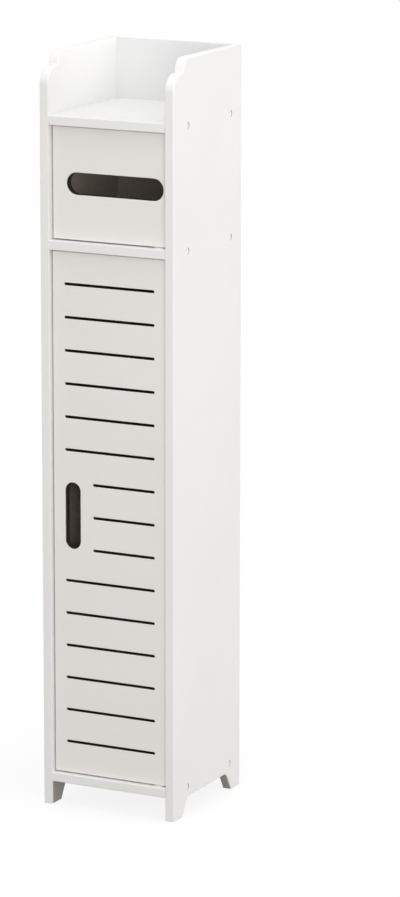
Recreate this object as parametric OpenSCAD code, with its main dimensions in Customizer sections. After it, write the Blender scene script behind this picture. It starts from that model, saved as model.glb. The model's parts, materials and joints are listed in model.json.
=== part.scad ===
// Toilet roll storage cabinet: a narrow floor-standing column with an open tray on top, a small
// bay whose door has a slot to pull paper through, and a tall bay behind a louvred door.
// Millimetres. X runs to the right, Y to the back, Z up. The origin is the middle of the base.

/* [Body] */
// Outside width
body_w = 154; // [130:1:220]
// Outside depth
body_d = 154; // [130:1:220]
// Overall height
body_h = 796; // [650:1:1000]
// Thickness of the side panels and the shelves
board_t = 10; // [9:0.5:16]
// Radius of the eased front edges
edge_r = 1; // [0.5:0.1:2.5]

/* [Layout] */
// Height of the bottom shelf's underside above the floor
base_gap = 25; // [22:1:60]
// Clear height of the upper bay
upper_bay_h = 119; // [100:1:160]
// Depth of the tray, from the top edge of the sides down to the top shelf
tray_depth = 64; // [40:1:100]

/* [Side panels] */
// Radius of the upper round of the shoulder
shoulder_upper_r = 14; // [6:1:20]
// Radius of the lower round of the shoulder
shoulder_lower_r = 18; // [8:1:26]
// Width of the flat ledge between the two rounds
shoulder_ledge = 3; // [1:0.5:6]
// Rise from the ledge to the upper round
shoulder_step = 1; // [0.5:0.5:3]
// Width of each foot at the floor
foot_w = 20; // [14:1:34]
// Height of the arch between the feet
arch_h = 20; // [14:1:21]
// Radius in the upper corners of the arch
arch_r = 10; // [4:1:13]
// Slant of the feet's inner edges from the vertical, in degrees
foot_slant = 30; // [0:1:40]

/* [Back panel] */
// Thickness of the back panel
back_t = 3; // [2.5:0.5:5]
// Width of the rebate that takes the panel's edge
rebate_w = 5; // [4:0.5:6]
// Distance from the panel to the rear edges of the sides
back_inset = 1; // [0.8:0.1:3]
// Play between the panel's edges and the rebate
back_play = 0.5; // [0.2:0.1:1]

/* [Doors] */
// Thickness of the doors
door_t = 10; // [8:0.5:13]
// Gap around each door
door_gap = 1.2; // [1.2:0.1:2.5]
// Depth of the lower door's face behind the front edges
lower_recess = 5; // [2:0.5:8]
// Depth of the upper door's face behind the front edges
upper_recess = 7; // [2:0.5:8]

/* [Louvres] */
// Number of slots in the lower door
slot_count = 15; // [5:1:18]
// Height of each slot
slot_h = 3; // [2:0.5:6]
// Distance from the ends of the slots to the door's edges
slot_margin = 13.5; // [11:0.5:25]
// Width of the finger hole
grip_w = 18; // [15:0.5:24]
// Height of the finger hole
grip_h = 71; // [50:1:100]
// Distance from the finger hole to the short slots
grip_clear = 14.5; // [8:0.5:25]

/* [Paper slot] */
// Height of the slot in the upper door
paper_h = 23; // [15:1:35]
// Distance from the slot to the door's free edge
paper_left = 16; // [10:1:30]
// Distance from the slot to the door's hinge edge
paper_right = 4; // [3:0.5:16]

/* [Pivots] */
// Diameter of the pivot pins
pin_d = 5; // [3:0.5:6]
// Depth of each pin in the end of its door
pin_seat = 20; // [12:1:28]
// Distance from the pin's axis to the door's hinge edge
pivot_edge = 10; // [8:0.5:14]
// Outside diameter of a bush's barrel
bush_d = 8; // [7.5:0.5:9]
// Diameter of a bush's flange
flange_d = 12; // [10.5:0.5:14]
// Wood left between the two bushes in the middle shelf
pivot_web = 1; // [0.8:0.1:3]

/* [Catches] */
// Width of a catch's housing
catch_w = 14; // [12.5:0.5:18]
// Depth of a catch's housing, front to back
catch_d = 20; // [16:1:28]
// Height of a catch's housing
catch_h = 14; // [13:0.5:18]
// Span across a catch's two ears
ear_span = 28; // [26:1:32]
// Thickness of the ears
ear_t = 2.5; // [2:0.5:4]
// Distance from the catch's ear to the side panel
catch_inset = 3; // [1:0.5:12]
// Width of the magnet
magnet_w = 10; // [8:0.5:11]
// Height of the magnet
magnet_h = 8; // [6:0.5:9]
// Depth of the magnet
magnet_d = 12; // [8:0.5:14]
// Width of a strike plate
strike_w = 14; // [12:0.5:18]
// Height of a strike plate
strike_h = 12; // [10:0.5:13]
// Thickness of a strike plate
strike_t = 1; // [0.8:0.1:1.2]

/* [Fasteners] */
// Diameter of the shelf screws
screw_d = 3.5; // [3:0.5:4]
// Head diameter of the shelf screws
screw_head_d = 7; // [6:0.5:8]
// Length of the shelf screws
screw_len = 35; // [28:1:45]
// Depth of the shelf screws' heads below the face of the side panel
head_sink = 1; // [0.4:0.1:1.6]
// Distance from the front edge to the front shelf screws
screw_front = 32; // [20:1:45]
// Distance from the rear edge to the rear shelf screws
screw_rear = 25; // [22:1:45]
// Diameter of the small screws in the catches and strike plates
small_screw_d = 2.5; // [2:0.5:3]
// Head diameter of the small screws
small_head_d = 5; // [4:0.5:5.5]
// Length of the small screws
small_screw_len = 8; // [6:0.5:9]
// Diameter of the back panel's nails
nail_d = 1.4; // [1.2:0.1:1.8]
// Head diameter of the nails
nail_head_d = 3.6; // [3:0.2:3.8]
// Length of the nails
nail_len = 16; // [12:1:20]
// Nails along each side of the back panel
side_nails = 5; // [3:1:8]
// Nails into each shelf
shelf_nails = 3; // [2:1:5]

/* [Clearances] */
// Radial clearance of a pin in its bush
running_clear = 0.05; // [0.02:0.01:0.1]
// Radial clearance round a piece that is pushed or screwed into a hole
fit_clear = 0.05; // [0.02:0.01:0.1]
// Air between parts that pass each other
pass_clear = 0.3; // [0.2:0.05:0.5]

/* [Hidden] */
$fn = 48;
cut = 1;                                    // how far a cut runs past the face it opens

// Across the body
panel_x = (body_w - board_t) / 2;           // middle of a side panel
bay_w = body_w - 2 * board_t;               // clear width between the sides
front_y = -body_d / 2;
rear_y = body_d / 2;
back_face_y = rear_y - back_inset;          // rear face of the back panel
shelf_rear_y = back_face_y - back_t;        // rear edges of the shelves
shelf_d = shelf_rear_y - front_y;
back_w = bay_w + 2 * (rebate_w - back_play);

// Heights
lower_bay_z = base_gap + board_t;
lower_bay_h = body_h - tray_depth - upper_bay_h - base_gap - 3 * board_t;
middle_shelf_z = lower_bay_z + lower_bay_h;
upper_bay_z = middle_shelf_z + board_t;
top_shelf_z = upper_bay_z + upper_bay_h;
shelf_zs = [base_gap, middle_shelf_z, top_shelf_z];

// Shoulder of the side panels
shoulder_run = shoulder_lower_r + shoulder_ledge + shoulder_upper_r;
shoulder_drop = shoulder_lower_r + shoulder_step + shoulder_upper_r;

// Corner of the arch: a round that touches the slanted edge of the foot and the top of the arch
foot_y = body_d / 2 - foot_w;
corner_z = arch_h - arch_r;
corner_y = foot_y - (arch_r + corner_z * sin(foot_slant)) / cos(foot_slant);
tangent = [corner_y + arch_r * cos(foot_slant), corner_z + arch_r * sin(foot_slant)];

// Doors: the short end beyond the pivot swings inward, so the gap there clears its eased corner
swing_r = norm([pivot_edge - edge_r, door_t / 2 - edge_r]) + edge_r;
hinge_gap = max(door_gap, swing_r - pivot_edge + pass_clear);
door_w = bay_w - door_gap - hinge_gap;
door_x = (door_gap - hinge_gap) / 2;        // middle of a door
door_left = door_x - door_w / 2;
door_right = door_x + door_w / 2;
pivot_x = door_right - pivot_edge;
lower_pivot_y = front_y + lower_recess + door_t / 2;
upper_pivot_y = front_y + upper_recess + door_t / 2;

// Louvres and the finger hole
slot_pitch = lower_bay_h / (slot_count + 1);
slot_left = door_left + slot_margin;
slot_right = door_right - slot_margin;
grip_x = slot_left + grip_w / 2;
grip_z = lower_bay_z + lower_bay_h / 2;
short_left = slot_left + grip_w + grip_clear;

// Paper slot
paper_w = door_w - paper_left - paper_right;
paper_x = door_left + paper_left + paper_w / 2;
paper_z = upper_bay_z + upper_bay_h / 2;

// Pivots: two bushes back to back share the middle shelf
bush_seat = (board_t - pivot_web) / 2;
flange_t = door_gap - pass_clear;
pin_tip_air = 0.6;
pin_len = pin_seat + door_gap + bush_seat - pin_tip_air;

// Catches
catch_x = -bay_w / 2 + catch_inset + ear_span / 2;
catch_r = 1.5;                              // corner radius of the housing and the strike plate
ear_w = 9;
magnet_proud = 0.5;                         // how far the magnet stands out of its housing
magnet_z = -(catch_h + ear_t) / 2;          // magnet's middle below the shelf
ear_screw_x = (ear_span - ear_w) / 2;

// Fasteners
screw_ys = [front_y + screw_front, rear_y - screw_rear];
nail_head_t = 0.6;
tip_taper = 2;                              // length of a fastener's point, in diameters
side_nail_edge = 20;
shelf_nail_edge = 20;
side_nail_x = (bay_w + rebate_w) / 2;
side_nail_zs = [for (i = [0 : side_nails - 1])
    base_gap + side_nail_edge + i * (body_h - base_gap - 2 * side_nail_edge) / (side_nails - 1)];
shelf_nail_xs = [for (i = [0 : shelf_nails - 1])
    -bay_w / 2 + shelf_nail_edge + i * (bay_w - 2 * shelf_nail_edge) / (shelf_nails - 1)];

// Colours
board_white = [0.93, 0.93, 0.92];
door_white = [0.90, 0.89, 0.87];
nylon_white = [0.86, 0.86, 0.84];
steel_grey = [0.66, 0.67, 0.69];
magnet_grey = [0.22, 0.22, 0.23];

// ---- Ways of extruding an outline -------------------------------------------------------------

// Outline drawn in depth and height, as seen from the right, w thick about the middle of X
module side_view(w) { rotate([90, 0, 90]) linear_extrude(w, center = true) children(); }

// Outline drawn in depth and width, as seen from above, raised by h
module plan_view(h) { rotate([0, 0, 90]) linear_extrude(h) children(); }

// Outline drawn in width and height, as seen from the front, d thick about the middle of Y
module front_view(d) { rotate([90, 0, 0]) linear_extrude(d, center = true) children(); }

// ---- Outlines --------------------------------------------------------------------------------

// Section of a board whose front edge, at x = 0, is eased on both sides
module eased_section(depth, width) {
    translate([edge_r, -width / 2]) square([depth - edge_r, width]);
    translate([0, -width / 2 + edge_r]) square([2 * edge_r, width - 2 * edge_r]);
    for (side = [-1, 1]) translate([edge_r, side * (width / 2 - edge_r)]) circle(edge_r);
}

// Slot with round ends, lying along x
module long_slot(length, height) {
    square([length - height, height], center = true);
    for (side = [-1, 1]) translate([side * (length - height) / 2, 0]) circle(height / 2);
}

// Rectangle with round corners, about its middle
module rounded_rect(w, h, r) {
    square([w - 2 * r, h], center = true);
    square([w, h - 2 * r], center = true);
    for (x = [-1, 1], y = [-1, 1]) translate([x * (w / 2 - r), y * (h / 2 - r)]) circle(r);
}

// What the shoulder takes off the front upper corner of a side panel, drawn from that corner
module shoulder_cut() {
    difference() {
        translate([-cut, -shoulder_drop]) square([shoulder_run + cut, shoulder_drop + cut]);
        translate([shoulder_lower_r, -shoulder_drop]) {
            circle(shoulder_lower_r);
            square([shoulder_run - shoulder_lower_r + cut, shoulder_lower_r]);
        }
        translate([shoulder_run, -shoulder_upper_r]) circle(shoulder_upper_r);
        translate([shoulder_run - shoulder_upper_r, -shoulder_drop])
            square([shoulder_upper_r + cut, shoulder_drop - shoulder_upper_r]);
    }
}

// Half of the arch between the feet, from the middle to the rear foot
module half_arch_cut() {
    translate([corner_y, corner_z]) circle(arch_r);
    translate([-cut, -cut]) square([corner_y + cut, arch_h + cut]);
    polygon([
        [0, -cut], [foot_y + cut * tan(foot_slant), -cut], tangent, [corner_y, corner_z], [0, corner_z]
    ]);
}

module panel_outline() {
    difference() {
        translate([front_y, 0]) square([body_d, body_h]);
        translate([front_y, body_h]) shoulder_cut();
        half_arch_cut();
        mirror([1, 0]) half_arch_cut();
    }
}

// ---- Fasteners -------------------------------------------------------------------------------

// Countersunk screw with its head's face at the origin, pointing along +Z
module countersunk_screw(d, head_d, length) {
    taper = tip_taper * d;
    cylinder(d1 = head_d, d2 = d, h = (head_d - d) / 2);
    cylinder(d = d, h = length - taper);
    translate([0, 0, length - taper]) cylinder(d1 = d, d2 = d / 5, h = taper);
}

// Hole for that screw: the cone is the head's own seat, the rest has clearance
module countersunk_hole(d, head_d, length) {
    translate([0, 0, -cut]) cylinder(d = head_d, h = cut);
    cylinder(d1 = head_d, d2 = d, h = (head_d - d) / 2);
    cylinder(d = d + 2 * fit_clear, h = length + pass_clear);
}

// Flat-headed nail with the underside of its head at the origin, pointing along +Z
module nail() {
    taper = tip_taper * nail_d;
    translate([0, 0, -nail_head_t]) cylinder(d = nail_head_d, h = nail_head_t);
    cylinder(d = nail_d, h = nail_len - taper);
    translate([0, 0, nail_len - taper]) cylinder(d1 = nail_d, d2 = nail_d / 5, h = taper);
}

module nail_hole() {
    translate([0, 0, -cut]) cylinder(d = nail_d + 2 * fit_clear, h = nail_len + cut + pass_clear);
}

// Places one side's shelf screws in a shelf whose underside is at z, pointing inward
module at_shelf_screws(z, side) {
    for (y = screw_ys)
        translate([side * (body_w / 2 - head_sink), y, z + board_t / 2]) rotate([0, -side * 90, 0])
            children();
}

module shelf_screw_holes(z, side) {
    at_shelf_screws(z, side) {
        countersunk_hole(screw_d, screw_head_d, screw_len);
        translate([0, 0, -head_sink - cut]) cylinder(d = screw_head_d + 2 * fit_clear, h = head_sink + cut);
    }
}

// Places the nails that hold the back panel, pointing to the front
module at_shelf_nails(z) {
    for (x = shelf_nail_xs)
        translate([x, back_face_y, z + board_t / 2]) rotate([90, 0, 0]) children();
}

module at_side_nails(side) {
    for (z = side_nail_zs)
        translate([side * side_nail_x, back_face_y, z]) rotate([90, 0, 0]) children();
}

// ---- Body ------------------------------------------------------------------------------------

module side_panel(side) {
    color(board_white) difference() {
        intersection() {
            translate([side * panel_x, 0, 0]) side_view(board_t) panel_outline();
            translate([side * panel_x, front_y, 0]) plan_view(body_h) eased_section(body_d, board_t);
        }
        // Rebate for the back panel, along the inner rear edge
        translate([side * (bay_w / 2 + (rebate_w - cut) / 2), (shelf_rear_y + rear_y + cut) / 2, body_h / 2])
            cube([rebate_w + cut, rear_y + cut - shelf_rear_y, body_h + 2 * cut], center = true);
        for (z = shelf_zs) shelf_screw_holes(z, side);
        at_side_nails(side) nail_hole();
    }
}

// Plain shelf with its underside at z; the bushes' and the catch's holes are cut by the caller
module shelf(z) {
    color(board_white) difference() {
        translate([0, front_y, z + board_t / 2]) side_view(bay_w) eased_section(shelf_d, board_t);
        for (side = [-1, 1]) shelf_screw_holes(z, side);
        at_shelf_nails(z) nail_hole();
        children();
    }
}

module bottom_shelf() {
    shelf(base_gap) translate([pivot_x, lower_pivot_y, lower_bay_z]) mirror([0, 0, 1]) bush_hole();
}

module middle_shelf() {
    shelf(middle_shelf_z) {
        translate([pivot_x, lower_pivot_y, middle_shelf_z]) bush_hole();
        translate([pivot_x, upper_pivot_y, upper_bay_z]) mirror([0, 0, 1]) bush_hole();
        at_catch(lower_recess, middle_shelf_z) ear_screw_holes();
    }
}

module top_shelf() {
    shelf(top_shelf_z) {
        translate([pivot_x, upper_pivot_y, top_shelf_z]) bush_hole();
        at_catch(upper_recess, top_shelf_z) ear_screw_holes();
    }
}

module back_panel() {
    color(board_white) difference() {
        translate([-back_w / 2, shelf_rear_y, base_gap]) cube([back_w, back_t, body_h - base_gap]);
        for (z = shelf_zs) at_shelf_nails(z) nail_hole();
        for (side = [-1, 1]) at_side_nails(side) nail_hole();
    }
}

module shelf_screws(z) {
    color(steel_grey) for (side = [-1, 1])
        at_shelf_screws(z, side) countersunk_screw(screw_d, screw_head_d, screw_len);
}

module back_panel_nails() {
    color(steel_grey) {
        for (z = shelf_zs) at_shelf_nails(z) nail();
        for (side = [-1, 1]) at_side_nails(side) nail();
    }
}

// ---- Pivots ----------------------------------------------------------------------------------

// Flanged bush: the flange's seat is at the origin and the barrel points along +Z into a shelf
module bush() {
    color(nylon_white) difference() {
        union() {
            translate([0, 0, -flange_t]) cylinder(d = flange_d, h = flange_t);
            cylinder(d = bush_d, h = bush_seat);
        }
        translate([0, 0, -flange_t - cut])
            cylinder(d = pin_d + 2 * running_clear, h = flange_t + bush_seat + 2 * cut);
    }
}

module bush_hole() {
    translate([0, 0, -cut]) cylinder(d = bush_d + 2 * fit_clear, h = bush_seat + cut);
}

// Pivot pin: its seat in the door is at the origin and it points along +Z out of the door's end
module pivot_pin() {
    chamfer = pin_d / 10;
    color(steel_grey) {
        cylinder(d = pin_d, h = pin_len - chamfer);
        translate([0, 0, pin_len - chamfer]) cylinder(d1 = pin_d, d2 = pin_d - 2 * chamfer, h = chamfer);
    }
}

// Lower end of a bay is side -1 and upper end is side 1
module at_bay_end(pivot_y, bay_z, bay_h, side) {
    translate([pivot_x, pivot_y, bay_z + (side + 1) / 2 * bay_h]) mirror([0, 0, side < 0 ? 1 : 0])
        children();
}

module at_pin_seat(pivot_y, bay_z, bay_h, side) {
    at_bay_end(pivot_y, bay_z, bay_h, side) translate([0, 0, -door_gap - pin_seat]) children();
}

module pin_hole() { cylinder(d = pin_d + 2 * fit_clear, h = pin_seat + cut); }

// ---- Doors -----------------------------------------------------------------------------------

// Door board with eased front edges; what its face has cut through it comes as children
module door(recess, pivot_y, bay_z, bay_h) {
    height = bay_h - 2 * door_gap;
    color(door_white) difference() {
        translate([door_x, front_y + recess, bay_z + bay_h / 2]) intersection() {
            translate([0, 0, -height / 2]) plan_view(height) eased_section(door_t, door_w);
            side_view(door_w) eased_section(door_t, height);
        }
        for (side = [-1, 1]) at_pin_seat(pivot_y, bay_z, bay_h, side) pin_hole();
        at_strike(recess, bay_z + bay_h) strike_screw_hole();
        translate([0, pivot_y, 0]) front_view(door_t + 2 * cut) children();
    }
}

module lower_door() {
    door(lower_recess, lower_pivot_y, lower_bay_z, lower_bay_h) {
        for (i = [1 : slot_count]) {
            z = lower_bay_z + i * slot_pitch;
            beside_grip = abs(z - grip_z) < grip_h / 2 + slot_h;
            left = beside_grip ? short_left : slot_left;
            translate([(left + slot_right) / 2, z]) long_slot(slot_right - left, slot_h);
        }
        translate([grip_x, grip_z]) rotate(90) long_slot(grip_h, grip_w);
    }
}

module upper_door() {
    door(upper_recess, upper_pivot_y, upper_bay_z, upper_bay_h)
        translate([paper_x, paper_z]) long_slot(paper_w, paper_h);
}

// ---- Catches ---------------------------------------------------------------------------------

// Rear face of a closed door, at the catch's middle, under the shelf whose underside is at z
module at_strike(recess, z) {
    translate([catch_x, front_y + recess + door_t, z + magnet_z]) children();
}

// Front face of the magnet in width and depth, and the shelf's underside in height
module at_catch(recess, z) {
    translate([catch_x, front_y + recess + door_t + strike_t + pass_clear, z]) children();
}

// Block with rounded upright edges, hung from an ear plate with a screw through each ear
module catch_housing() {
    middle_y = magnet_proud + catch_d / 2;
    color(nylon_white) difference() {
        union() {
            translate([0, middle_y, -catch_h]) linear_extrude(catch_h) rounded_rect(catch_w, catch_d, catch_r);
            translate([0, middle_y, -ear_t]) linear_extrude(ear_t) long_slot(ear_span, ear_w);
        }
        translate([0, magnet_d / 2 - cut, magnet_z])
            cube([magnet_w + 2 * fit_clear, magnet_d + 2 * cut, magnet_h + 2 * fit_clear], center = true);
        ear_screw_holes();
    }
}

module catch_magnet() {
    color(magnet_grey) translate([0, magnet_d / 2, magnet_z])
        cube([magnet_w, magnet_d, magnet_h], center = true);
}

module at_ear_screws() {
    for (side = [-1, 1])
        translate([side * ear_screw_x, magnet_proud + catch_d / 2, -ear_t]) children();
}

module ear_screw_holes() { at_ear_screws() countersunk_hole(small_screw_d, small_head_d, small_screw_len); }

module ear_screws() {
    color(steel_grey) at_ear_screws() countersunk_screw(small_screw_d, small_head_d, small_screw_len);
}

module strike_plate() {
    color(steel_grey) difference() {
        translate([0, strike_t / 2, 0]) front_view(strike_t) rounded_rect(strike_w, strike_h, catch_r);
        strike_screw_hole();
    }
}

module strike_screw_hole() {
    translate([0, strike_t, 0]) rotate([90, 0, 0])
        countersunk_hole(small_screw_d, small_head_d, small_screw_len);
}

module strike_screw() {
    color(steel_grey) translate([0, strike_t, 0]) rotate([90, 0, 0])
        countersunk_screw(small_screw_d, small_head_d, small_screw_len);
}

// ---- Each node in its place ------------------------------------------------------------------

module lower_end(side) { at_bay_end(lower_pivot_y, lower_bay_z, lower_bay_h, side) children(); }
module upper_end(side) { at_bay_end(upper_pivot_y, upper_bay_z, upper_bay_h, side) children(); }
module lower_seat(side) { at_pin_seat(lower_pivot_y, lower_bay_z, lower_bay_h, side) children(); }
module upper_seat(side) { at_pin_seat(upper_pivot_y, upper_bay_z, upper_bay_h, side) children(); }

side_panel(-1);  // left_side_panel
side_panel(1);  // right_side_panel
bottom_shelf();
middle_shelf();
top_shelf();
back_panel();
lower_door();
upper_door();
lower_seat(-1) pivot_pin();  // lower_door_bottom_pin
lower_seat(1) pivot_pin();  // lower_door_top_pin
upper_seat(-1) pivot_pin();  // upper_door_bottom_pin
upper_seat(1) pivot_pin();  // upper_door_top_pin
lower_end(-1) bush();  // lower_door_bottom_bush
lower_end(1) bush();  // lower_door_top_bush
upper_end(-1) bush();  // upper_door_bottom_bush
upper_end(1) bush();  // upper_door_top_bush
at_catch(lower_recess, middle_shelf_z) catch_housing();  // lower_catch_housing
at_catch(lower_recess, middle_shelf_z) catch_magnet();  // lower_catch_magnet
at_catch(lower_recess, middle_shelf_z) ear_screws();  // lower_catch_screws
at_catch(upper_recess, top_shelf_z) catch_housing();  // upper_catch_housing
at_catch(upper_recess, top_shelf_z) catch_magnet();  // upper_catch_magnet
at_catch(upper_recess, top_shelf_z) ear_screws();  // upper_catch_screws
at_strike(lower_recess, middle_shelf_z) strike_plate();  // lower_strike_plate
at_strike(lower_recess, middle_shelf_z) strike_screw();  // lower_strike_screw
at_strike(upper_recess, top_shelf_z) strike_plate();  // upper_strike_plate
at_strike(upper_recess, top_shelf_z) strike_screw();  // upper_strike_screw
shelf_screws(base_gap);  // bottom_shelf_screws
shelf_screws(middle_shelf_z);  // middle_shelf_screws
shelf_screws(top_shelf_z);  // top_shelf_screws
back_panel_nails();
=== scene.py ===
# %% [markdown]
# # A toilet roll storage cabinet
# This is a narrow white cabinet on four feet. It has an open tray on top, a small door with a
# long slot for the paper, and a tall door cut with thin louvre slots. Its carcass was worked
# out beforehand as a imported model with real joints. This script loads that model as a fixed
# frame, takes its sizes from it, and builds a finished surface for each board, screw and
# fitting in the same place. Everything is in metres, with X to the right, Y to the back, Z up.

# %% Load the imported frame
import json
import math

import bmesh
import bpy
import numpy as np
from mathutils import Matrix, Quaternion, Vector
from mathutils.geometry import tessellate_polygon

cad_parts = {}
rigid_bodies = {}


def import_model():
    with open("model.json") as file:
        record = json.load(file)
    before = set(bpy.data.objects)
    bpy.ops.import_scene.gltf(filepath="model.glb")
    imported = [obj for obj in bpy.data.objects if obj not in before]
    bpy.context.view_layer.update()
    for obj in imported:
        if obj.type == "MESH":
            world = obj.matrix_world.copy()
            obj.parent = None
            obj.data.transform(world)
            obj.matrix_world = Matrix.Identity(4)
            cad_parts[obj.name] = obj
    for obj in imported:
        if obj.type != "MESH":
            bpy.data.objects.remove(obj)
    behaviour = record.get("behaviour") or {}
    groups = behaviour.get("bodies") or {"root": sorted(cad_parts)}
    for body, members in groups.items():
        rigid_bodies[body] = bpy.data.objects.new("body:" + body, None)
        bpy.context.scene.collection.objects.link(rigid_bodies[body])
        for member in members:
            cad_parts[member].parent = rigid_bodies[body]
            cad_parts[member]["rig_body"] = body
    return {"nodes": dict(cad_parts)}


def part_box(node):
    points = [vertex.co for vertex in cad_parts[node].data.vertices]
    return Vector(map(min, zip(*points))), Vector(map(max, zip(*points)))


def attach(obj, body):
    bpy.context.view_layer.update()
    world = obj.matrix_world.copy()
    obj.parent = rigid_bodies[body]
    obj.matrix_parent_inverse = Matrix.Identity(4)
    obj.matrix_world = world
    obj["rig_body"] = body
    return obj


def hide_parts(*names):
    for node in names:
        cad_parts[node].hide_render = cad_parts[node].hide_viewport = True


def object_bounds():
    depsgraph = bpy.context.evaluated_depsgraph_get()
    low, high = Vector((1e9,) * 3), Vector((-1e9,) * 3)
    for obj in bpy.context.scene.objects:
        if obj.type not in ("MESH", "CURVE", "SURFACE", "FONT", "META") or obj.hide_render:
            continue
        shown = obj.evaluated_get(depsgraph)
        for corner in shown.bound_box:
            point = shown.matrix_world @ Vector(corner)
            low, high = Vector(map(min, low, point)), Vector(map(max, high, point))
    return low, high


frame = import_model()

MM = 0.001
cad_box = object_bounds()
print("CAD box:", [tuple(round(c, 4) for c in corner) for corner in cad_box])

# %% [markdown]
# ## Reading sizes from the frame
# The frame knows where each node lies, so the size of a board isn't typed twice. A node's box
# gives its faces, and differences between boxes give thicknesses, gaps and depths.

# %% Sizes of the carcass
cabinet_lo, cabinet_hi = cad_box
right_lo, right_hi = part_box("right_side_panel")
back_lo, back_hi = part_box("back_panel")
SHELVES = ("bottom_shelf", "middle_shelf", "top_shelf")
BAYS = ("lower", "upper")
BOARD = right_hi.x - right_lo.x
HEIGHT = cabinet_hi.z
FRONT, REAR = cabinet_lo.y, cabinet_hi.y
BAY_HALF = right_lo.x
bay_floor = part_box("bottom_shelf")[1].z
middle_lo, middle_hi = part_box("middle_shelf")
bay_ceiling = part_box("top_shelf")[0].z
print(f"board {BOARD / MM:.1f} mm, clear width {2 * BAY_HALF / MM:.1f} mm, height {HEIGHT / MM:.0f} mm")

# %% [markdown]
# ## The camera
# The cabinet is seen from its right front corner and a little from above, through a long lens,
# so its upright edges stay almost parallel. A camera is easiest to place by an azimuth and an
# elevation round a target, because those are the two angles that an eye can judge in a picture.

# %% Place the camera
VIEW_AZIMUTH = math.radians(26.91)
VIEW_ELEVATION = math.radians(12.36)
VIEW_ROLL = math.radians(0.06)
VIEW_DISTANCE = 4.392
VIEW_TARGET = Vector((0.0681, 0.0, 0.3828))
LENS_MM = 169.7


def camera_at(azimuth, elevation, roll, distance, target, lens_mm):
    """Camera on a sphere round the target: back = (sin a cos e, -cos a cos e, sin e)."""
    back = Vector((math.sin(azimuth) * math.cos(elevation),
                   -math.cos(azimuth) * math.cos(elevation), math.sin(elevation)))
    data = bpy.data.cameras.new("camera")
    data.lens = lens_mm
    data.clip_end = 50
    made = bpy.data.objects.new("camera", data)
    made.rotation_mode = "QUATERNION"
    made.rotation_quaternion = back.to_track_quat("Z", "Y") @ Quaternion((0, 0, 1), roll)
    made.location = target + back * distance
    bpy.context.scene.collection.objects.link(made)
    bpy.context.scene.camera = made
    return made


camera = camera_at(VIEW_AZIMUTH, VIEW_ELEVATION, VIEW_ROLL, VIEW_DISTANCE, VIEW_TARGET, LENS_MM)
print("camera at", tuple(round(c, 3) for c in camera.location))

# %% [markdown]
# ## Outlines as arrays
# A board is an outline given a thickness. A curve object could be drawn by hand for each, but
# here an outline is an array of corners whose round stretches are arcs worked out by formula, so
# a radius can change without redrawing anything. Moving a whole outline inward by a small
# distance is what later gives every edge its rounding.

# %% Outline helpers
ARC_STEP = 7.5  # degrees of arc to one edge


def arc(centre, radius, start, stop):
    """Points on a circle: centre + radius (cos t, sin t), t going from start to stop degrees."""
    steps = max(2, round(abs(stop - start) / ARC_STEP))
    t = np.radians(np.linspace(start, stop, steps + 1))
    return np.stack([centre[0] + radius * np.cos(t), centre[1] + radius * np.sin(t)], 1)


def moved_inward(loop, distance):
    """Each corner moves along its mitre: the sum of both edge normals over 1 + their product."""
    edge = np.roll(loop, -1, 0) - loop
    edge /= np.linalg.norm(edge, axis=1)[:, None]
    normal = np.stack([-edge[:, 1], edge[:, 0]], 1)
    before = np.roll(normal, 1, 0)
    mitre = (normal + before) / (1 + (normal * before).sum(1))[:, None]
    return loop + distance * mitre


def rectangle(u0, v0, u1, v1):
    """Counter-clockwise corners of a rectangle."""
    return np.array([[u0, v0], [u1, v0], [u1, v1], [u0, v1]], float)


def round_rectangle(u0, v0, u1, v1, r):
    """Rectangle whose corners are quarter circles of radius r."""
    return np.concatenate([arc((u1 - r, v0 + r), r, -90, 0), arc((u1 - r, v1 - r), r, 0, 90),
                           arc((u0 + r, v1 - r), r, 90, 180), arc((u0 + r, v0 + r), r, 180, 270)])


def long_slot(u0, v0, u1, v1):
    """Slot with a half circle at each end of its longer side."""
    r = min(u1 - u0, v1 - v0) / 2
    if u1 - u0 > v1 - v0:
        return np.concatenate([arc((u1 - r, v0 + r), r, -90, 90), arc((u0 + r, v0 + r), r, 90, 270)])
    return np.concatenate([arc((u0 + r, v1 - r), r, 0, 180), arc((u0 + r, v0 + r), r, 180, 360)])


print("a slot of 100 by 3 mm has", len(long_slot(0, 0, 0.1, 0.003)), "corners")

# %% [markdown]
# ## From an outline to a board
# Painted board has no sharp edges: the router takes a small round off each one, and the paint
# rounds it further. Those rounds catch the light and make a white object readable. A bevel
# modifier could make them, but it treats every edge alike. Here the edge's profile, a quarter
# circle, a straight wall and another quarter circle, is carried along each outline instead, so
# the outer edge and the slots can have their own radii.

# %% Board surfaces
ROUND_STEPS = 6
SHARP = (0, 0)


def edge_profile(thickness, front_round, back_round):
    """Inset r(1 - sin t) at depth r(1 - cos t) in front, and the same mirrored at the back."""
    t = np.linspace(0, np.pi / 2, ROUND_STEPS + 1)
    quarter = np.stack([1 - np.sin(t), 1 - np.cos(t)], 1)
    front = quarter * front_round if front_round else np.zeros((1, 2))
    back = quarter * back_round if back_round else np.zeros((1, 2))
    return np.concatenate([front, (0, thickness) + back[::-1] * (1, -1)])


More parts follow.
